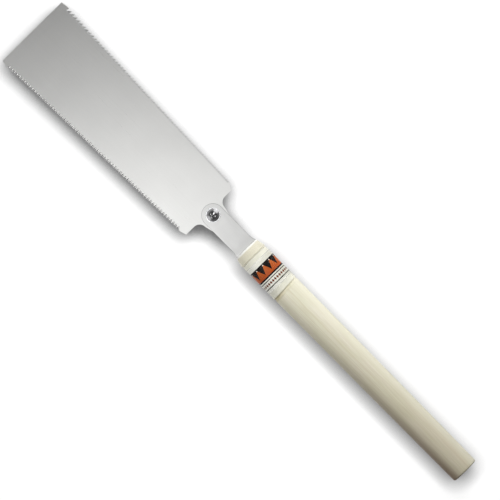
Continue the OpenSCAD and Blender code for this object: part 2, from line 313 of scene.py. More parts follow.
def eased_ramp(share, ease=0.2):
    """Rises evenly from 0 to 1, but for a short bend at each end."""
    share = min(max(share, 0.0), 1.0)
    if share > 0.5:
        return 1 - eased_ramp(1 - share, ease)
    return (share * share / (2 * ease) if share < ease else share - ease / 2) / (1 - ease)


# Materials


class Shader:
    """A material, or the world, and the few kinds of nodes that it is built from."""

    def __init__(self, name, world=False):
        self.block = (bpy.data.worlds if world else bpy.data.materials).new(name)
        self.block.use_nodes = True
        self.tree = self.block.node_tree
        self.tree.nodes.clear()
        self.output = self.node("ShaderNodeOutputWorld" if world else "ShaderNodeOutputMaterial")

    def node(self, kind, inputs=None, **settings):
        node = self.tree.nodes.new(kind)
        for key, value in settings.items():
            setattr(node, key, value)
        for key, value in (inputs or {}).items():
            if isinstance(value, bpy.types.NodeSocket):
                self.tree.links.new(value, node.inputs[key])
            else:
                node.inputs[key].default_value = value
        return node

    def math(self, operation, a, b=0.0, c=0.0):
        return self.node("ShaderNodeMath", {0: a, 1: b, 2: c}, operation=operation).outputs[0]

    def plus(self, a, b):
        return self.math("ADD", a, b)

    def minus(self, a, b):
        return self.math("SUBTRACT", a, b)

    def times(self, a, b):
        return self.math("MULTIPLY", a, b)

    def scaled(self, value, factor, base):
        """A base plus factor times value."""
        return self.plus(self.times(value, factor), base)

    def between(self, value, low, high):
        """1 where value is between low and high, and 0 elsewhere."""
        above = self.math("GREATER_THAN", value, low)
        return self.times(above, self.math("LESS_THAN", value, high))

    def spread(self, value, low, high, start=0.0, end=1.0):
        """Goes from start to end as value goes from low to high."""
        return self.node("ShaderNodeMapRange", {
            "Value": value, "From Min": low, "From Max": high, "To Min": start, "To Max": end,
        }).outputs[0]

    def mix(self, factor, a, b, blend="MIX"):
        node = self.node("ShaderNodeMix", {0: factor, 6: a, 7: b}, data_type="RGBA", blend_type=blend)
        return node.outputs[2]

    def ramp(self, value, stops):
        node = self.node("ShaderNodeValToRGB", {0: value})
        ramp = node.color_ramp
        while len(ramp.elements) < len(stops):
            ramp.elements.new(0.5)
        for element, (place, level) in zip(ramp.elements, stops):
            element.position = place
            element.color = (level, level, level, 1)
        return node.outputs[0]

    def place(self, scale=(1, 1, 1), shift=(0, 0, 0)):
        """Object coordinates, scaled and shifted."""
        coords = self.node("ShaderNodeTexCoord").outputs["Object"]
        inputs = {"Vector": coords, "Scale": scale, "Location": shift}
        return self.node("ShaderNodeMapping", inputs).outputs[0]

    def axes(self, vector):
        """The x, y and z of a vector."""
        return self.node("ShaderNodeSeparateXYZ", {0: vector}).outputs

    def squareness(self):
        """How squarely a face looks up or down, from 0 to 1."""
        normal = self.node("ShaderNodeNewGeometry").outputs["True Normal"]
        return self.math("ABSOLUTE", self.axes(normal)[2])

    def noise(self, where, scale, detail=3, rough=0.5):
        inputs = {"Vector": where, "Scale": scale, "Detail": detail, "Roughness": rough}
        return self.node("ShaderNodeTexNoise", inputs).outputs["Fac"]

    def bump(self, height, strength, distance):
        inputs = {"Height": height, "Strength": strength, "Distance": distance}
        return self.node("ShaderNodeBump", inputs).outputs[0]

    def rays(self):
        """What marks the camera's own rays, and those of mirrors and glass."""
        path = self.node("ShaderNodeLightPath").outputs
        mirrors = self.math("MAXIMUM", path["Is Glossy Ray"], path["Is Transmission Ray"])
        return path["Is Camera Ray"], mirrors

    def blend(self, share, a, b):
        """A shader that goes from a to b as share goes from 0 to 1."""
        return self.node("ShaderNodeMixShader", {0: share, 1: a.outputs[0], 2: b.outputs[0]})

    def finish(self, shader):
        """Shows a shader, and gives back the material or world."""
        self.tree.links.new(shader.outputs[0], self.output.inputs["Surface"])
        return self.block

    def surface(self, inputs):
        return self.finish(self.node("ShaderNodeBsdfPrincipled", inputs))


def rgb(red, green, blue):
    return (red, green, blue, 1.0)


def grey(level):
    return rgb(level, level, level)


LINE_SHARE = 0.45
CLOUD_SCALE = 22
SCRATCH_DEPTH = 0.00002
MIDDLE_RANGE = [(0.3, 0.0), (0.7, 1.0)]


def ground_look(s, streaks, dark, pale):
    """Fine lines along ground steel, and a colour that follows them and faint clouds."""
    lines = s.noise(s.place(scale=streaks), 1, 4, 0.6)
    clouds = s.noise(s.place(), CLOUD_SCALE)
    both = s.plus(s.times(lines, LINE_SHARE), s.times(clouds, 1 - LINE_SHARE))
    return lines, s.mix(s.ramp(both, MIDDLE_RANGE), dark, pale)


def steel(name, dark, pale, rough, streaks, scratch, neck=False):
    """Ground steel: fine lines along its length, faint clouds, and a roughness that follows the lines.

    The neck is stamped sheet: its cut edges are dark, which also paints the thin shadow along its edge, and
    painted shade makes its ground faces darker towards the handle.
    """
    s = Shader(name)
    lines, colour = ground_look(s, streaks, dark, pale)
    roughness = s.scaled(lines, rough[1] - rough[0], rough[0])
    if neck:
        handle_shade_tone, cut_edge_and_shade_tone, cut_rough, flat_square = grey(0.88), grey(0.3), 0.25, 0.975
        # Painted shade: the ground faces grow darker towards the handle.
        shade_towards_handle = s.spread(s.axes(s.place())[0], station(SCREW_X), station(MOUTH_X))
        colour = s.mix(shade_towards_handle, colour, handle_shade_tone, "MULTIPLY")
        # Dark cut edges, partly painted shade: they also stand in for the thin shadow along the leaf's edge.
        edge = s.math("LESS_THAN", s.squareness(), flat_square)
        colour = s.mix(edge, colour, cut_edge_and_shade_tone)
        roughness = s.plus(roughness, s.times(edge, cut_rough))
    return s.surface({
        "Base Color": colour,
        "Metallic": 1.0,
        "Roughness": roughness,
        "Normal": s.bump(lines, scratch, SCRATCH_DEPTH),
    })


TINT_REACH = 0.005
TINT_STRENGTH = 0.75
GROUND_TILT = math.cos(math.radians(1.0))


def blade_finish():
    """Ground plate with teeth that are darker towards their tips, and shinier where they are ground."""
    streaks, dark, pale = (14, 2200, 2200), rgb(0.72, 0.72, 0.705), rgb(0.79, 0.79, 0.775)
    least_rough, rough_spread, scratch = 0.25, 0.09, 0.12
    tooth_tip_tone, ground_tone, ground_gloss = grey(0.36), rgb(0.43, 0.43, 0.42), 0.14
    s = Shader("blade_steel")
    lines, colour = ground_look(s, streaks, dark, pale)
    along, across = s.axes(s.place())[:2]
    first, last = station(TOE_LAND), station(TOE_LAND + TOOTH_RUN)
    slope = (HEEL_W - TOE_W) / TOOTH_RUN / 2
    tips = s.math("MULTIPLY_ADD", along, slope, TOE_W / 2 * MM - slope * first)
    rip_reach = s.spread(along, first, last, TINT_REACH, TINT_REACH * RIP_GRADING)
    from_rip = s.math("DIVIDE", s.minus(tips, across), rip_reach)
    from_cross = s.times(s.plus(tips, across), 1 / TINT_REACH)
    tint = s.math("MAXIMUM", s.ramp(from_rip, [(0.0, 1.0), (0.5, 0.75), (0.75, 0.0)]),
                  s.ramp(from_cross, [(0.0, 0.9), (0.12, 0.6), (0.22, 0.0)]))
    tint = s.times(s.times(tint, s.between(along, first, last)), TINT_STRENGTH)
    # The teeth are darker towards their tips.
    colour = s.mix(tint, colour, tooth_tip_tone)
    tilted = s.math("LESS_THAN", s.squareness(), GROUND_TILT)
    ground = s.times(tilted, s.math("LESS_THAN", from_cross, 1.0))
    colour = s.mix(ground, colour, ground_tone)
    roughness = s.scaled(lines, rough_spread, least_rough)
    return s.surface({
        "Base Color": colour,
        "Metallic": 1.0,
        "Roughness": s.minus(roughness, s.times(ground, ground_gloss)),
        "Normal": s.bump(lines, scratch, SCRATCH_DEPTH),
    })


def groove_shade(s, along, across):
    """Share of painted shade in the groove, which is strongest along the shaded side of the handle."""
    middle, core, reach = GROOVE_X + 0.4, 0.0006, 0.0036
    strong, weak, strong_y = 0.95, 0.27, -0.012
    leaning = s.math("MULTIPLY_ADD", across, -RIDGE_LEAN, along)
    apart = s.math("ABSOLUTE", s.minus(leaning, station(middle)))
    darkest = s.spread(across, strong_y, 0.0, strong, weak)
    return s.spread(apart, core, reach, darkest, 0.0)


def late_wood(s, along):
    """Share of dark late wood in the year rings, which lie about a far pith and waver a little."""
    pith = (0.0, 0.031, 0.052)
    rings_per_metre, drift, waver = 520.0, 0.006, 0.0035
    bent = s.noise(s.place(scale=(3, 18, 18)), 1, 2)
    squares = [s.math("POWER", part, 2.0) for part in s.axes(s.place(shift=pith))[1:]]
    away = s.math("SQRT", s.plus(*squares))
    away = s.plus(away, s.times(along, drift))
    away = s.plus(away, s.times(bent, waver))
    year = s.math("FRACT", s.times(away, rings_per_metre))
    return s.ramp(year, [(0.0, 0.0), (0.62, 0.18), (0.86, 1.0), (0.97, 0.75), (1.0, 0.0)])


def wood():
    """Pale straight-grained softwood: year rings, fine fibres, faint patches, and painted shade in the
    groove.

    Painted shade makes it darker towards the butt, most of all along its shaded side, and painted light makes
    it paler along its lit side.
    """
    dark, pale = rgb(0.83, 0.795, 0.64), rgb(0.89, 0.865, 0.725)
    butt_shade_tone, groove_shade_tone = rgb(0.91, 0.865, 0.81), rgb(0.52, 0.47, 0.28)
    late_tone, late_share, late_relief = rgb(0.70, 0.61, 0.42), 0.28, 0.3
    fibre_tone, fibre_share, fibre_relief = rgb(0.62, 0.54, 0.39), 0.28, 0.7
    patch_tone = rgb(0.965, 0.98, 0.94)
    crosscut_shade_tone, crosscut_shade_y, crosscut_shade_full_y = rgb(0.50, 0.40, 0.385), -0.006, -0.0135
    rip_side_light_tone, rip_side_light_y, rip_side_light_full_y, rip_side_light_share = rgb(0.94, 0.915, 0.75), 0.005, 0.013, 0.65
    s = Shader("pale_wood")
    along, across = s.axes(s.place())[:2]
    broad = s.noise(s.place(scale=(7, 120, 120)), 1)
    late = late_wood(s, along)
    fibres = s.noise(s.place(scale=(32, 900, 900)), 1, 3, 0.65)
    dark_fibres = s.ramp(fibres, [(0.42, 1.0), (0.60, 0.0)])
    patches = s.noise(s.place(scale=(32, 150, 150), shift=(0.4, 0.1, 0.7)), 1, 2)
    shade_towards_butt = s.spread(along, station(GROOVE_X), station(BUTT_X))
    crosscut_side_shade = s.times(s.spread(across, crosscut_shade_y, crosscut_shade_full_y), s.math("POWER", shade_towards_butt, 2.0))

    colour = s.mix(s.ramp(broad, MIDDLE_RANGE), dark, pale)
    # Painted shade towards the butt.
    colour = s.mix(shade_towards_butt, colour, butt_shade_tone, "MULTIPLY")
    # Painted shade in the groove.
    colour = s.mix(groove_shade(s, along, across), colour, groove_shade_tone)
    colour = s.mix(s.times(late, late_share), colour, late_tone)
    colour = s.mix(s.times(dark_fibres, fibre_share), colour, fibre_tone)
    colour = s.mix(s.ramp(patches, [(0.38, 1.0), (0.62, 0.0)]), colour, patch_tone, "MULTIPLY")
    # Painted shade along the crosscut side, deepest at the butt.
    colour = s.mix(crosscut_side_shade, colour, crosscut_shade_tone, "MULTIPLY")
    # Painted light along the rip side.
    colour = s.mix(s.spread(across, rip_side_light_y, rip_side_light_full_y, 0.0, rip_side_light_share), colour, rip_side_light_tone)
    height = s.plus(s.times(fibres, fibre_relief), s.times(late, late_relief))
    return s.surface({
        "Base Color": colour,
        "Roughness": s.scaled(fibres, 0.18, 0.5),
        "Specular IOR Level": 0.35,
        "Normal": s.bump(height, 0.25, 0.00006),
    })


def cream_plastic():
    """Smooth cream plastic with faint clouds and a fine grain, and a painted highlight at its rim."""
    dark, pale, rim_highlight_tone = rgb(0.73, 0.69, 0.555), rgb(0.79, 0.76, 0.65), rgb(0.97, 0.965, 0.93)
    rim_start, rim_end = MOUTH_X + 0.6, MOUTH_X + 2.5
    s = Shader("cream_plastic")
    clouds = s.noise(s.place(), 160)
    grain = s.noise(s.place(), 2600, 2)
    colour = s.mix(clouds, dark, pale)
    # Painted highlight along the rim.
    rim = s.spread(s.axes(s.place())[0], station(rim_start), station(rim_end), 1.0, 0.0)
    colour = s.mix(rim, colour, rim_highlight_tone)
    return s.surface({
        "Base Color": colour,
        "Roughness": s.scaled(grain, 0.12, 0.38),
        "Specular IOR Level": 0.3,
        "Normal": s.bump(grain, 0.12, 0.00003),
    })


def half_perimeter():
    """Half of the way around the label."""
    steps = 720
    angles = [math.tau * i / steps for i in range(steps + 1)]
    points = [(LABEL_OUT_R * math.cos(a), LABEL_OUT_R * OVAL * math.sin(a)) for a in angles]
    return sum(math.dist(a, b) for a, b in zip(points, points[1:])) / 2


LABEL_HALF_ROUND = half_perimeter()
TEETH_PER_HALF = 5
PRINT_PERIOD = LABEL_HALF_ROUND / TEETH_PER_HALF
ORANGE_BAND = (8.4, 20.6)
SAW_START = 6.0
SAW_ROOT = 6.6
SAW_H = 10.4
STRIPES = [(19.2, 20.9), (22.2, 23.1), (29.2, 30.2)]
MARK_MIDDLE = 26.15
MARK_HALF = 1.75
MARK_SLOPE = 1.9
MARKS_PER_TOOTH = 3
PRINT_WOBBLE = 0.5


def label_paper():
    """White paper with a band of plain saw-tooth ornament.

    In the print, u runs along the handle and v around it, in millimetres.
    """
    bright, dull, shade = rgb(0.94, 0.93, 0.88), rgb(0.88, 0.87, 0.81), rgb(0.73, 0.73, 0.70)
    pale_orange, deep_orange, deepening = rgb(0.64, 0.18, 0.04), rgb(0.44, 0.08, 0.02), 0.05
    black_ink, brown_ink = rgb(0.012, 0.010, 0.010), rgb(0.17, 0.055, 0.03)
    shade_y, shade_full_y = -0.006, 0.013
    s = Shader("label_paper")
    u, v = s.axes(s.node("ShaderNodeUVMap", uv_map="print").outputs[0])[:2]
    wobble = s.noise(s.place(), 420, 2)
    u = s.plus(u, s.times(s.minus(wobble, 0.5), PRINT_WOBBLE))

    def folded(period):
        """Rises and falls once in each period around the handle, from 0 to 1."""
        return s.math("DIVIDE", s.math("PINGPONG", v, period / 2), period / 2)

    white = s.mix(s.noise(s.place(), 900), dull, bright)
    # Painted shade: the paper is greyer towards the rip side.
    shaded = s.spread(s.axes(s.place())[1], shade_y, shade_full_y)
    white = s.mix(shaded, white, shade, "MULTIPLY")
    orange = s.mix(s.times(u, deepening), pale_orange, deep_orange)
    colour = s.mix(s.between(u, *ORANGE_BAND), white, orange)
    black = s.between(u, SAW_START, s.scaled(folded(PRINT_PERIOD), SAW_H, SAW_ROOT))
    for stripe in STRIPES:
        black = s.math("MAXIMUM", black, s.between(u, *stripe))
    colour = s.mix(black, colour, black_ink)
    mark = s.plus(s.math("ABSOLUTE", s.minus(u, MARK_MIDDLE)),
                  s.times(folded(PRINT_PERIOD / MARKS_PER_TOOTH), MARK_SLOPE))
    colour = s.mix(s.math("LESS_THAN", mark, MARK_HALF), colour, brown_ink)
    return s.surface({
        "Base Color": colour,
        "Roughness": s.scaled(wobble, 0.1, 0.45),
        "Specular IOR Level": 0.06,
    })


def clear_film():
    """Clear shrunk film: it mirrors a little, more at a slant, and is hazy on both sides of the label."""
    clear_tint, haze_tone = rgb(0.995, 0.995, 0.985), rgb(0.95, 0.94, 0.82)
    most_mirrored, haze_share, haze_start = 0.16, 0.75, 0.01
    collar_fade, label_fade, back_fade = 0.6, 1.5, 2.0
    s = Shader("clear_film")
    ripple = s.noise(s.place(scale=(1, 0.35, 0.35)), 260, 2)
    along = s.axes(s.place())[0]

    def rising(start, end):
        return s.spread(along, station(start), station(end))

    ahead = s.minus(rising(COLLAR_END_X - collar_fade, COLLAR_END_X + collar_fade),
                    rising(LABEL_X, LABEL_X + label_fade))
    haze = s.math("MAXIMUM", ahead, rising(LABEL_END_X - back_fade, LABEL_END_X))
    gloss = s.node("ShaderNodeBsdfPrincipled", {
        "Base Color": s.mix(haze, grey(1), haze_tone),
        "Metallic": s.math("LESS_THAN", haze, haze_start),
        "Roughness": s.scaled(ripple, 0.1, 0.15),
        "Specular IOR Level": 0.2,
        "Normal": s.bump(ripple, 0.1, 0.0002),
    })
    through = s.node("ShaderNodeBsdfTransparent", {"Color": clear_tint})
    mirror = s.math("MINIMUM", s.node("ShaderNodeFresnel", {"IOR": 1.17}).outputs[0], most_mirrored)
    outside = s.minus(1.0, s.node("ShaderNodeNewGeometry").outputs["Backfacing"])
    share = s.times(s.math("MAXIMUM", mirror, s.times(haze, haze_share)), outside)
    return s.finish(s.blend(share, through, gloss))


blade_steel = blade_finish()
neck_steel = steel("neck_steel", rgb(0.70, 0.70, 0.69), rgb(0.77, 0.77, 0.76), (0.26, 0.36),
                   streaks=(20, 1500, 1500), scratch=0.16, neck=True)
plain_steel = steel("plain_steel", grey(0.52), grey(0.62), (0.35, 0.5),
                    streaks=(300, 300, 300), scratch=0.1)
zinc = steel("zinc_plating", rgb(0.77, 0.78, 0.79), rgb(0.84, 0.84, 0.85), (0.2, 0.3),
             streaks=(500, 500, 500), scratch=0.08)
chrome = steel("screw_plating", rgb(0.56, 0.56, 0.57), rgb(0.64, 0.64, 0.65), (0.1, 0.18),
               streaks=(600, 600, 600), scratch=0.05)
handle_wood = wood()
collar_cream = cream_plastic()
printed_paper = label_paper()
film = clear_film()


# Blade


def tip_y(x):
    """How far the line of the tooth tips is from the long axis."""
    return (TOE_W + (HEEL_W - TOE_W) * (x - TOE_LAND) / TOOTH_RUN) / 2


class Plate:
    """The blade's plate: two flats inside a ring of points, a rim, and facets between ring and rim.

    Each point is followed by the one under it.
    """

    def __init__(self):
        self.points, self.ring, self.rim, self.facets = [], [], [], []

    def add(self, x, y, top=BLADE_HALF, low=-BLADE_HALF):
        self.points += [(x, y, top), (x, y, low)]
        return len(self.points) - 2

    def both(self, *places):
        """Takes places into the ring and the rim."""
        self.ring += places
        self.rim += places

    def faces(self):
        faces = [list(self.ring), [p + 1 for p in reversed(self.ring)]]
        for a, b, c in self.facets:
            faces += [[a, b, c], [c + 1, b + 1, a + 1]]
        for a, b in zip(self.rim, self.rim[1:] + self.rim[:1]):
            faces.append([a, b, b + 1, a + 1])
        return faces


def rip_edge(plate):
    """Graded rip teeth from the toe to the heel, set to one side and the other in turn."""
    ratio = RIP_GRADING ** (1 / RIP_TEETH)
    rip_x = [TOE_LAND + TOOTH_RUN * (1 - ratio ** i) / (1 - RIP_GRADING) for i in range(RIP_TEETH + 1)]
    first_pitch = rip_x[1] - rip_x[0]
    land_end = TOE_LAND + RIP_DEPTH * RIP_RAKE
    plate.both(plate.add(TOE_LAND, TOE_W / 2), plate.add(land_end, tip_y(land_end)))
    for i in range(RIP_TEETH):
        pitch = rip_x[i + 1] - rip_x[i]
        deep = RIP_DEPTH * pitch / first_pitch
        floor_x = rip_x[i] + RIP_FLOOR * pitch
        gullet = plate.add(rip_x[i], tip_y(rip_x[i]) - deep)
        if i:
            plate.facets.append((tooth_base, tip, gullet))
        tooth_base = plate.add(floor_x, tip_y(floor_x) - deep)
        plate.both(gullet, tooth_base)
        last = i == RIP_TEETH - 1
        tip_x = rip_x[i + 1] + (0 if last else deep * RIP_RAKE)
        bend = 0 if last else RIP_SET * (1 if i % 2 else -1)
        tip = plate.add(tip_x, tip_y(tip_x), BLADE_HALF + bend, bend - BLADE_HALF)
        plate.rim.append(tip)
    plate.ring.append(tip)


def tang_outline():
    """The tang with its open slot, from the heel of the rip edge to that of the crosscut edge."""
    tang = [(HEEL_X, HEEL_W / 2 - RIP_HEEL_DROP)]
    tang += arc(TAPER_X, TANG_HALF + TANG_FILLET, TANG_FILLET, 180, 270, FILLET_STEPS)
    tang += [(GUIDE_X, TANG_TAIL_HALF), (TANG_END_X - TANG_CHAMFER, TANG_TAIL_HALF),
             (TANG_END_X, TANG_TAIL_HALF - TANG_CHAMFER)]
    swing = math.degrees(math.asin(SLOT_HALF / SLOT_ROUND))
    slot = [(TANG_END_X, SLOT_HALF)]
    slot += arc(SCREW_X, 0, SLOT_ROUND, swing, 360 - swing, SLOT_STEPS)
    slot += [(TANG_END_X, -SLOT_HALF)]
    back = [(x, -y) for x, y in reversed(tang[1:])] + [(HEEL_X, CROSS_HEEL_DROP - HEEL_W / 2)]
    return tang + slot + back


def cross_tooth(plate, x, pitch, above, inner, gullet):
    """A crosscut tooth, ground from above or below, which joins the one before it at inner and gullet."""

    def cut(px, d, depth):
        """A point d from the line of the tips, ground away by depth on the tooth's own side."""
        top_depth, low_depth = (depth, 0) if above else (0, depth)
        return plate.add(px, d - tip_y(px), BLADE_HALF - top_depth, low_depth - BLADE_HALF)

    left_x, right_x, tip_x = x + GULLET_HALF, x + pitch - GULLET_HALF, x + CROSS_LEAN * pitch
    share = CROSS_TIP_L / CROSS_DEPTH
    ridge_x = x + CROSS_RIDGE * pitch
    shelf_x = ridge_x + (tip_x - ridge_x) * (1 - share)
    right_low_x, left_low_x = (tip_x + (gx - tip_x) * share for gx in (right_x, left_x))
    drop = GULLET_CUT / (right_x - ridge_x)
    tip = cut(tip_x, 0, 2 * BLADE_HALF - CROSS_TIP_T)
    right = cut(right_x, CROSS_DEPTH, GULLET_CUT)
    left = cut(left_x, CROSS_DEPTH, LEFT_CUT)
    right_low = cut(right_low_x, CROSS_TIP_L, drop * (right_low_x - shelf_x))
    left_low = cut(left_low_x, CROSS_TIP_L, LEFT_LOW_CUT)
    ridge = cut(ridge_x, CROSS_DEPTH + GRIND_L, 0)
    shelf = cut(shelf_x, CROSS_TIP_L, 0)
    next_inner = plate.add(x, CROSS_DEPTH + GRIND_LOW - tip_y(x))
    plate.facets += [(inner, right, gullet), (inner, ridge, right), (ridge, right_low, right),
                     (ridge, shelf, right_low), (shelf, tip, right_low), (shelf, left_low, tip),
                     (ridge, left_low, shelf), (ridge, left, left_low), (ridge, next_inner, left)]
    plate.ring += [ridge, next_inner]
    plate.rim += [right, right_low, tip, left_low, left]
    return next_inner, left


def cross_edge(plate):
    """Crosscut teeth from the heel to the toe, ground from above and from below in turn."""
    pitch = TOOTH_RUN / CROSS_TEETH
    last_x = TOE_LAND + (CROSS_TEETH - 1) * pitch
    end_tip_x = last_x + CROSS_LEAN * pitch
    end_tip = plate.add(end_tip_x, -tip_y(end_tip_x))
    inner = plate.add(last_x, CROSS_DEPTH + GRIND_LOW - tip_y(last_x))
    gullet = plate.add(last_x, CROSS_DEPTH - tip_y(last_x))
    plate.both(end_tip)
    plate.ring.append(inner)
    plate.rim.append(gullet)
    plate.facets.append((end_tip, inner, gullet))
    for i in reversed(range(CROSS_TEETH - 1)):
        inner, gullet = cross_tooth(plate, TOE_LAND + i * pitch, pitch, i % 2 == 0, inner, gullet)
    corner = plate.add(TOE_LAND, -TOE_W / 2)
    plate.facets.append((inner, corner, gullet))
    plate.both(corner)


def build_blade():
    plate = Plate()
    plate.both(plate.add(0, TOE_DROP - TOE_W / 2), plate.add(0, TOE_W / 2 - TOE_DROP))
    rip_edge(plate)
    for x, y in tang_outline():
        plate.both(plate.add(x, y))
    cross_edge(plate)
    make("saw_blade", plate.points, plate.faces(), "blade", "blade", blade_steel, sharp=0)


# Neck


def inset(outline, depth):
    """The outline moved inwards by depth; it runs anticlockwise."""
    out = []
    count = len(outline)
    for i in range(count):
        before, here, after = (Vector(outline[(i + k) % count]) for k in (-1, 0, 1))
        a, b = (here - before).normalized(), (after - here).normalized()
        na, nb = Vector((-a.y, a.x)), Vector((-b.y, b.x))
        normal = (na + nb).normalized()
        out.append(tuple(here + normal * depth / max(normal.dot(na), MITRE_LIMIT)))
    return out


def leaf_shapes():
    """The outline of a leaf, and its holes for the screw, the rivets and the pin."""
    edge = arc(SCREW_X, 0, NECK_HALF, 180, 90, LEAF_END_STEPS)
    for i in range(FLARE_STEPS + 1):
        widening = (SHOULDER_HALF - NECK_HALF) * (i / FLARE_STEPS) ** 2
        edge.append((FLARE_X + FLARE_L * i / FLARE_STEPS, NECK_HALF + widening))
    edge += [(MOUTH_X, TAIL_HALF), (TAIL_END_X, TAIL_END_HALF)]
    outline = [(x, -y) for x, y in edge[1:]] + [(x, y) for x, y in reversed(edge)]
    holes = [(SCREW_X, HOLE_R), (MOUTH_X + RIVET_INSET, RIVET_HOLE_R), (MOUTH_X + PIN_INSET, PIN_HOLE_R),
             (TAIL_END_X - RIVET_INSET, RIVET_HOLE_R)]
    return [outline] + [list(reversed(circle(x, r))) for x, r in holes]


def leaf_rise(x, z):
    """The inner face steps out with the bar, and the outer face rises mostly inside the mouth."""
    full_rise = TAIL_IN - LEAF_IN
    if z < LEAF_IN + LEAF_EDGE:
        return full_rise * min(max((x - STEP_END_X) / BAR_STEP_L + 1, 0), 1)
    outside = LEAF_RISE * eased_ramp((x - STEP_X) / (STEP_END_X - STEP_X))
    return outside + (full_rise - LEAF_RISE) * eased_ramp((x - MOUTH_X) / TAIL_RAMP)


def build_leaf(name, replaced, side):
    """A flat leaf with a rounded outer edge, cut across where it bends, and then bent."""
    shapes = leaf_shapes()
    levels = [(LEAF_IN, 0.0), (LEAF_OUT - LEAF_EDGE, 0.0)]
    for i in range(1, LEAF_EDGE_STEPS + 1):
        angle = math.radians(90 * i / LEAF_EDGE_STEPS)
        levels.append((LEAF_OUT - LEAF_EDGE * (1 - math.sin(angle)), LEAF_EDGE * (1 - math.cos(angle))))
    work = bmesh.new()
    loops = []
    for z, depth in levels:
        for shape in shapes:
            loops.append([work.verts.new((x, y, z)) for x, y in inset(shape, depth)])
    count = len(shapes)
    for k in range(count):
        rings = loops[k::count]
        for low, high in zip(rings, rings[1:]):
            for face in band(low, high):
                work.faces.new(face)
    for flat in (loops[:count], loops[-count:]):
        edges = []
        for loop in flat:
            for i in range(len(loop)):
                ends = (loop[i], loop[(i + 1) % len(loop)])
                edges.append(work.edges.get(ends) or work.edges.new(ends))
        bmesh.ops.triangle_fill(work, use_beauty=True, edges=edges)
    bends = [STEP_X + (STEP_END_X - STEP_X) * i / RAMP_STEPS for i in range(RAMP_STEPS + 1)]
    bends.append(STEP_END_X - BAR_STEP_L)
    bends += [MOUTH_X + TAIL_RAMP * i / RAMP_STEPS for i in range(RAMP_STEPS + 1)]
    for x in bends:
        bmesh.ops.bisect_plane(work, geom=work.verts[:] + work.edges[:] + work.faces[:],
                               plane_co=(x, 0, 0), plane_no=(1, 0, 0), dist=CUT_SLACK)
    work.verts.index_update()
    points = [(x, y, side * (z + leaf_rise(x, z))) for x, y, z in (vert.co for vert in work.verts)]
    faces = [[v.index for v in face.verts] for face in work.faces]
    work.free()
    even_normals(make(name, points, faces, "handle_unit", replaced, neck_steel, sharp=50))


# Turned pieces at the clamp


def lathe(profile, sides, reach=None):
    """A closed turned ring about the clamp screw, from a profile of [radius, z].

    Where its section isn't round, reach gives the radius at an angle.
    """
    points, faces = [], []
    for r, z in profile:
        for i in range(sides):
            angle = math.tau * i / sides
            radius = reach(r, angle) if reach else r
            points.append((SCREW_X + radius * math.cos(angle), radius * math.sin(angle), z))
    rows = [range(k * sides, (k + 1) * sides) for k in range(len(profile))]
    for here, after in zip(rows, rows[1:] + rows[:1]):
        faces += band(here, after)
    return points, faces


def build_washer():
    low, high = LEAF_OUT + HAIRLINE + WASHER_EDGE, HEAD_Z - HAIRLINE - WASHER_EDGE
    inner, outer = HOLE_R + WASHER_EDGE, WASHER_R - WASHER_EDGE
    profile = []
    for cx, cz, start in ((inner, low, 180), (outer, low, 270), (outer, high, 0), (inner, high, 90)):
        profile += arc(cx, cz, WASHER_EDGE, start, start + 90, WASHER_STEPS)
    points, faces = lathe(profile, TURNED_SIDES)
    even_normals(make("washer_ring", points, faces, "washer", "screw_washer", zinc))


def build_nut():
    top, low = -LEAF_OUT - HAIRLINE, -LEAF_OUT - NUT_H
    corner = NUT_HALF / math.cos(math.pi / 6)
    bore = SCREW_R + NUT_BORE_GAP
    mouth = bore + NUT_LEAD_IN
    flat = NUT_HALF - NUT_FLAT_INSET
    wide = corner + NUT_SPARE
    profile = [(mouth, top), (bore, top - NUT_LEAD_IN), (bore, low + NUT_LEAD_IN), (mouth, low), (flat, low)]
    for i in range(1, NUT_STEPS + 1):
        share = i / NUT_STEPS
        profile.append((flat + (corner - flat) * share, low + NUT_CHAMFER * share))
    profile += [(wide, low + NUT_CHAMFER + NUT_STEP), (wide, top)]

    def hexagon(r, angle):
        around = (angle + math.pi / 6) % (math.pi / 3) - math.pi / 6
        return min(r, NUT_HALF / math.cos(around))

    points, faces = lathe(profile, NUT_SIDES, hexagon)
    make("clamp_nut_hex", points, faces, "handle_unit", "clamp_nut", zinc, sharp=25)


def recess_depth(x, y):
    """Depth of the cross recess at a place on the head: tapered wings that meet in a deeper middle."""
    depth = 0.0
    for k in (0, 1):
        a = RECESS_TURN + k * math.pi / 2
        along = abs(x * math.cos(a) + y * math.sin(a))
        across = abs(y * math.cos(a) - x * math.sin(a))
        wall = smooth_step((RECESS_HALF - across) / RECESS_WALL)
        end = smooth_step((RECESS_REACH - along) / RECESS_END)
        depth = max(depth, wall * end * (RECESS_DEPTH - RECESS_SLOPE * along))
    return depth


def head_rings(angles):
    """Rings of the screw's head, from the middle of its dome out and down to its foot."""
    dome_h = HEAD_H - HEAD_RIM_H
    dome_r = (HEAD_R ** 2 + dome_h ** 2) / (2 * dome_h)
    rings = []
    for k in range(1, DOME_RINGS + 1):
        r = (HEAD_R - HEAD_BREAK) * k / DOME_RINGS
        level = HEAD_TOP_Z - dome_r + math.sqrt(dome_r ** 2 - r * r)
        places = [(r * math.cos(a), r * math.sin(a)) for a in angles]
        rings.append([(x, y, level - recess_depth(x, y)) for x, y in places])
    for r, z in ((HEAD_R, HEAD_Z + HEAD_RIM_H - HEAD_BREAK), (HEAD_R, HEAD_Z + HEAD_FOOT),
                 (HEAD_R - HEAD_FOOT, HEAD_Z), (SCREW_R, HEAD_Z)):
        rings.append([(r * math.cos(a), r * math.sin(a), z) for a in angles])
    return rings


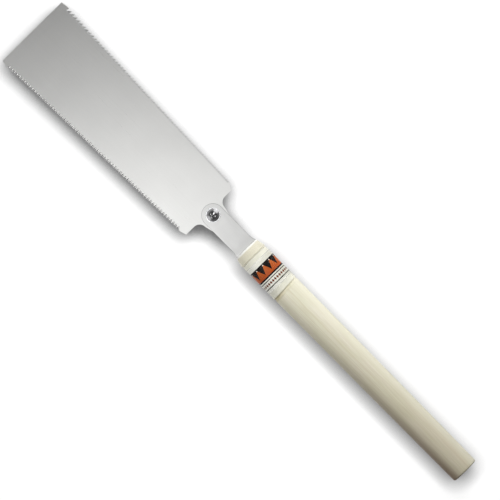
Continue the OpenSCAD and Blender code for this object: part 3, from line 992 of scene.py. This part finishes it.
def thread_rings(angles):
    """Rings of the screw's thread, which runs out under the head and at the chamfered end."""
    count = int((THREAD_TOP_Z - THREAD_LOW_Z) / SCREW_PITCH * THREAD_STEPS)
    rings = []
    for k in range(count + 1):
        z = THREAD_TOP_Z + (THREAD_LOW_Z - THREAD_TOP_Z) * k / count
        fade = smooth_step((THREAD_TOP_Z - z) / THREAD_FADE)
        limit = SCREW_R - max(0.0, SCREW_END_Z + SCREW_CHAMFER - z)
        ring = []
        for i, a in enumerate(angles):
            wave = 2 * abs(((z / SCREW_PITCH - i / TURNED_SIDES) % 1.0) - 0.5)
            cut = (SCREW_R - SCREW_ROOT_R) * smooth_step(wave * THREAD_STEEP - THREAD_CREST) * fade
            r = min(SCREW_R - cut, limit)
            ring.append((r * math.cos(a), r * math.sin(a), z))
        rings.append(ring)
    return rings


def build_screw():
    angles = [math.tau * i / TURNED_SIDES for i in range(TURNED_SIDES)]
    rings = head_rings(angles) + thread_rings(angles)
    points = [(SCREW_X + x, y, z) for ring in rings for x, y, z in ring]
    rows = [range(k * TURNED_SIDES, (k + 1) * TURNED_SIDES) for k in range(len(rings))]
    faces = []
    for here, after in zip(rows, rows[1:]):
        faces += band(here, after)
    middle, end = len(points), len(points) + 1
    points += [(SCREW_X, 0, HEAD_TOP_Z - recess_depth(0, 0)), (SCREW_X, 0, THREAD_LOW_Z)]
    for i in range(TURNED_SIDES):
        j = (i + 1) % TURNED_SIDES
        faces += [[middle, j, i], [end, rows[-1][i], rows[-1][j]]]
    make("clamp_screw_turned", points, faces, "screw", "clamp_screw", chrome, sharp=35)


# Oval pieces of the handle


def oval_points(rings):
    """Points of rings of [half width, x], each from the bottom of the handle; they lean about the groove."""
    points = []
    for r, x in rings:
        lean = RIDGE_LEAN * (1 - smooth_step(abs(x - GROOVE_X) / RIDGE_REACH))
        for i in range(OVAL_SIDES):
            angle = math.tau * i / OVAL_SIDES - math.pi / 2
            y = r * math.cos(angle)
            points.append((x + lean * y, y, r * OVAL * math.sin(angle)))
    return points


def oval_bands(pairs):
    """Faces between pairs of rings."""
    faces = []
    for a, b in pairs:
        for i in range(OVAL_SIDES):
            j = (i + 1) % OVAL_SIDES
            faces.append([a * OVAL_SIDES + i, b * OVAL_SIDES + i, b * OVAL_SIDES + j, a * OVAL_SIDES + j])
    return faces


def print_layout(rings, pairs):
    """Where the print lies on each face: u from the start of the label, and v from the top of the handle."""
    around = [0.0]
    for i in range(OVAL_SIDES):
        a, b = (math.tau * k / OVAL_SIDES for k in (i, i + 1))
        around.append(around[-1] + LABEL_OUT_R * math.dist(
            (math.cos(a), OVAL * math.sin(a)), (math.cos(b), OVAL * math.sin(b))))
    bottom = OVAL_SIDES * 3 // 4
    turned = around[bottom:] + [around[-1] + r for r in around[1:bottom + 1]]
    start = turned[0] + LABEL_HALF_ROUND
    turned = [r - start for r in turned]
    layout = []
    for a, b in pairs:
        ua, ub = rings[a][1] - LABEL_X, rings[b][1] - LABEL_X
        for i in range(OVAL_SIDES):
            layout.append([(ua, turned[i]), (ub, turned[i]), (ub, turned[i + 1]), (ua, turned[i + 1])])
    return layout


def build_sleeve(name, rings, replaced, material, printed=False):
    """A closed sleeve around the handle."""
    count = len(rings)
    pairs = [(k, (k + 1) % count) for k in range(count)]
    layout = print_layout(rings, pairs) if printed else None
    make(name, oval_points(rings), oval_bands(pairs), "handle_unit", replaced, material,
         TRIM_SHARP, layout)


def fan(ring, corners):
    """Faces of a flat between a ring and four corners; each quarter of the ring goes to its own corner."""
    faces = []
    quarter = len(ring) // 4
    for i, here in enumerate(ring):
        j = (i + 1) % len(ring)
        corner, next_corner = corners[i // quarter], corners[j // quarter]
        faces.append([here, ring[j], corner])
        if next_corner != corner:
            faces.append([ring[j], next_corner, corner])
    return faces


def slotted_front(points):
    """Faces that close the front of the wood, inside its first ring, with a slot for the tail and its pin."""
    first = len(points)
    high = TAIL_OUT + TAIL_GAP
    for x, half in ((MOUTH_X, TAIL_HALF + TAIL_GAP), (TAIL_END_X + TAIL_GAP, TAIL_END_HALF + TAIL_GAP)):
        points += [(x, half, -high), (x, half, high), (x, -half, high), (x, -half, -high)]
    front, back = (list(range(k, k + 4)) for k in (first, first + 4))
    faces = fan(list(range(OVAL_SIDES)), front) + [back]
    for k in (0, 2):
        faces.append([front[k], front[k + 1], back[k + 1], back[k]])
    for side, k in ((-1, 0), (1, 1)):
        rings = []
        for z in (high, PIN_HALF + TAIL_GAP):
            rings.append(list(range(len(points), len(points) + HOLE_SIDES)))
            points += [(x, y, side * z) for x, y in circle(MOUTH_X + PIN_INSET, PIN_HOLE_R)]
        mouth, end = rings
        faces += fan(mouth, [back[k], front[k], front[3 - k], back[3 - k]]) + [end] + band(mouth, end)
    return faces


def wood_shoulder():
    """Rings where the wood swells out behind the collar."""
    rings = []
    for i in range(1, SHOULDER_STEPS + 1):
        share = i / SHOULDER_STEPS
        rings.append((COLLAR_R + (WOOD_R - COLLAR_R) * smooth_step(share), COLLAR_END_X + SHOULDER_L * share))
    return rings


def build_handle():
    rings = [(FRONT_SHARE * SPIGOT_R, MOUTH_X), (SPIGOT_R - SPIGOT_BEVEL, MOUTH_X),
             (SPIGOT_R, MOUTH_X + SPIGOT_BEVEL), (SPIGOT_R, COLLAR_END_X), (COLLAR_R - FIT, COLLAR_END_X)]
    rings += wood_shoulder()
    rings += [(WOOD_R, COLLAR_END_X + PLAIN_SETBACK + PLAIN_STEP * i) for i in range(PLAIN_RINGS)]
    rings += [(WOOD_R + rise, GROOVE_X + along) for along, rise in RIDGE]
    start, end = rings[-1][1], BUTT_X - BUTT_ROUND
    for i in range(1, TAPER_STEPS + 1):
        share = i / TAPER_STEPS
        rings.append((WOOD_R - (WOOD_R - BUTT_R) * share ** TAPER_POWER, start + (end - start) * share))
    for i in range(1, BUTT_STEPS + 1):
        angle = math.radians(90 * i / BUTT_STEPS)
        rings.append((BUTT_R - BUTT_ROUND * (1 - math.cos(angle)), end + BUTT_ROUND * math.sin(angle)))
    rings += [(share * BUTT_R, BUTT_X) for share in BUTT_RINGS]
    count = len(rings)
    points = oval_points(rings)
    faces = oval_bands([(k, k + 1) for k in range(count - 1)]) + slotted_front(points)
    faces.append([(count - 1) * OVAL_SIDES + i for i in reversed(range(OVAL_SIDES))])
    make("wood_handle", points, faces, "handle_unit", "handle", handle_wood)


def collar_at(x):
    """Half width of the collar ahead of its bead."""
    start = MOUTH_X + RIM_BEVEL
    return MOUTH_R + (COLLAR_R - MOUTH_R) * (x - start) / (BEAD_START_X - start)


def collar_bead():
    return [(COLLAR_R + rise, BEAD_MID_X + along) for along, rise in BEAD]


def build_collar():
    inside, end = SPIGOT_R + FIT, COLLAR_END_X - FIT
    rings = [(inside, MOUTH_X), (MOUTH_R - RIM_BEVEL, MOUTH_X),
             (MOUTH_R - RIM_BEVEL * RIM_SHARE, MOUTH_X + RIM_STEP),
             (MOUTH_R - RIM_STEP, MOUTH_X + RIM_BEVEL * RIM_SHARE), (MOUTH_R, MOUTH_X + RIM_BEVEL)]
    rings += [(collar_at(x), x) for x in (FILM_X, FILM_X + COLLAR_STEP, FILM_X + 2 * COLLAR_STEP)]
    rings += collar_bead()
    rings += [(COLLAR_R + BEAD[-1][1], end), (inside, end)]
    build_sleeve("collar_ring", rings, "mouth_collar", collar_cream)


def build_label():
    length = LABEL_END_X - LABEL_X
    rings = [(LABEL_OUT_R, LABEL_X + length * i / LABEL_STEPS) for i in range(LABEL_STEPS + 1)]
    rings += [(LABEL_IN_R, LABEL_END_X), (LABEL_IN_R, LABEL_X)]
    build_sleeve("printed_label", rings, "label_band", printed_paper, printed=True)


def build_film():
    """The film follows what lies under it, from the collar over the label to the groove."""
    under = [(collar_at(x), x) for x in (FILM_X, FILM_X + FILM_STEP)] + collar_bead()
    under += [(COLLAR_R, COLLAR_END_X)] + wood_shoulder()
    under += [(WOOD_R, LABEL_X - FILM_SLOPE_L), (LABEL_OUT_R, LABEL_X - FIT),
              (LABEL_OUT_R, LABEL_END_X + FIT), (WOOD_R, LABEL_END_X + FILM_SLOPE_L)]
    under += [(WOOD_R + rise, GROOVE_X + along) for along, rise in RIDGE if GROOVE_X + along <= FILM_END_X]
    outside = [(r + FILM_GAP + FILM_T, x) for r, x in under]
    inside = [(r + FILM_GAP, x) for r, x in reversed(under)]
    build_sleeve("clear_sleeve", outside + inside, "film_sleeve", film)


build_blade()
build_leaf("neck_front", "front_leaf", 1)
build_leaf("neck_back", "back_leaf", -1)
build_washer()
build_nut()
build_screw()
build_handle()
build_collar()
build_label()
build_film()
for name, material in (("tail_bar", neck_steel), ("tail_rivets", plain_steel), ("handle_pin", plain_steel)):
    nodes[name].data.materials[0] = material


# Floor
FLOOR_HALF = 6.0
FLOOR_Z = -0.0002
FLOOR_GLOW = 0.85
FLOOR_WHITE = 0.35
FLOOR_UNSEEN = 0.55
REACH_AHEAD = 0.027
REACH_BEHIND = 0.019
LEAN_AHEAD = (-0.42, 0.46, 0.78)
LEAN_BEHIND = (-0.42, 0.32, 0.85)
DEPTH_AHEAD = 2.1
DEPTH_BEHIND = 1.2
NECK_DEPTH = 0.5
SHADOW_DARKEST = 0.15
MIRRORED_SHADOW = 0.2
SHADOW_SAMPLES = 16


def white_floor():
    """A floor that the camera and mirrors see as white, with a soft shadow close to the saw.

    It lights the saw as a duller floor would, and it is clear from below.
    """
    s = Shader("white_floor")
    by_camera, by_mirrors = s.rays()
    seen = s.math("MAXIMUM", by_camera, by_mirrors)
    along = s.axes(s.place())[0]

    def graded(ahead, behind):
        """One value beside the blade and another beside the handle."""
        return s.spread(along, station(SCREW_X), station(MOUTH_X), ahead, behind)

    lean = [graded(ahead, behind) for ahead, behind in zip(LEAN_AHEAD, LEAN_BEHIND)]
    lean = s.node("ShaderNodeCombineXYZ", dict(enumerate(lean))).outputs[0]
    unshaded = s.node(
        "ShaderNodeAmbientOcclusion", {"Distance": graded(REACH_AHEAD, REACH_BEHIND), "Normal": lean},
        samples=SHADOW_SAMPLES,
    ).outputs["AO"]
    beside_neck = s.math("PINGPONG", graded(0.0, 2.0), 1.0)
    depth = s.plus(graded(DEPTH_AHEAD, DEPTH_BEHIND), s.times(beside_neck, NECK_DEPTH))
    depth = s.times(depth, s.math("MAXIMUM", by_camera, MIRRORED_SHADOW))
    tone = s.minus(1.0, s.times(s.minus(1.0, unshaded), depth))
    tone = s.math("MAXIMUM", tone, SHADOW_DARKEST)
    glow = s.node("ShaderNodeEmission", {"Color": tone, "Strength": FLOOR_GLOW})
    lit = s.node("ShaderNodeBsdfDiffuse", {"Color": s.times(tone, FLOOR_WHITE)})
    bright = s.node("ShaderNodeAddShader", {0: glow.outputs[0], 1: lit.outputs[0]})
    plain = s.node("ShaderNodeBsdfDiffuse", {"Color": grey(FLOOR_UNSEEN)})
    below = s.node("ShaderNodeNewGeometry").outputs["Backfacing"]
    clear = s.node("ShaderNodeBsdfTransparent")
    return s.finish(s.blend(below, s.blend(seen, plain, bright), clear))


floor_mesh = bpy.data.meshes.new("floor")
floor_corners = [(x * FLOOR_HALF, y * FLOOR_HALF, FLOOR_Z) for x, y in ((-1, -1), (1, -1), (1, 1), (-1, 1))]
floor_mesh.from_pydata(floor_corners, [], [(0, 1, 2, 3)])
floor = bpy.data.objects.new("floor", floor_mesh)
scene.collection.objects.link(floor)
floor_mesh.materials.append(white_floor())


# Light
DIM = 0.06
WALL_LOW = 0.3
WALL_HIGH = 0.8
WALL_GLOW = 0.36
WALL_LEAN = -0.27
WINDOWS = [((-0.16, 0.84, 0.52), 1.0), ((-0.1, -0.84, 0.52), 0.55)]
WINDOW_EDGE = (0.88, 0.96)


def studio():
    """Dim light all round. The camera sees it as white, and mirrors see pale walls with two soft windows."""
    s = Shader("studio", world=True)
    by_camera, by_mirrors = s.rays()
    way = s.node("ShaderNodeTexCoord").outputs["Generated"]
    parts = s.axes(way)
    walls = s.spread(parts[2], WALL_LOW, WALL_HIGH, 1.0, 0.0)
    glow = s.plus(s.times(walls, s.scaled(parts[0], WALL_LEAN, WALL_GLOW)), DIM)
    for aim, strength in WINDOWS:
        inputs = {0: way, 1: Vector(aim).normalized()}
        near = s.node("ShaderNodeVectorMath", inputs, operation="DOT_PRODUCT").outputs["Value"]
        glow = s.plus(glow, s.spread(near, *WINDOW_EDGE, 0.0, strength))
    dim, mirrored, seen = (s.node("ShaderNodeBackground", {"Color": grey(1), "Strength": level})
                           for level in (DIM, glow, 1.0))
    return s.finish(s.blend(by_camera, s.blend(by_mirrors, dim, mirrored), seen))


def softbox(name, place, aim, size, radiance, mirrored=False):
    """An oblong lamp at place that faces aim; radiance is how bright its face is."""
    data = bpy.data.lights.new(name, "AREA")
    data.shape = "RECTANGLE"
    data.size, data.size_y = size
    data.energy = radiance * math.pi * data.size * data.size_y
    lamp = bpy.data.objects.new(name, data)
    lamp.location = place
    lamp.rotation_euler = (Vector(aim) - Vector(place)).to_track_quat("-Z", "Y").to_euler()
    lamp.visible_camera = False
    lamp.visible_glossy = mirrored
    scene.collection.objects.link(lamp)


scene.world = studio()
scene.world.cycles.sampling_method = "NONE"
softbox("key", place=(-0.254, 0.423, 0.536), aim=(-0.1, 0, 0), size=(0.4, 0.4), radiance=7.0)
softbox("side", place=(0.054, 0.48, 0.4), aim=(-0.1, 0, 0), size=(0.4, 0.4), radiance=2.75)
softbox("overhead", place=(0.008, -0.39, 1.93), aim=(0.008, -0.39, 0), size=(0.57, 0.94), radiance=2.5,
        mirrored=True)
softbox("fill", place=(-0.09, -0.25, 0.16), aim=(0.02, 0, 0), size=(0.18, 0.18), radiance=3.7)


# Camera
VIEW_W = 0.508
VIEW_MIDDLE = (0.00013, 0.00187)
VIEW_TURN = math.radians(45.39)
LENS = 400.0
SENSOR = 36.0
camera_data = bpy.data.cameras.new("camera")
camera_data.lens = LENS
camera_data.sensor_width = SENSOR
camera = bpy.data.objects.new("camera", camera_data)
camera.location = (*VIEW_MIDDLE, PLANE_Z + VIEW_W * LENS / SENSOR)
camera.rotation_euler = (0, 0, VIEW_TURN)
scene.collection.objects.link(camera)
scene.camera = camera
scene.view_settings.view_transform = "Standard"
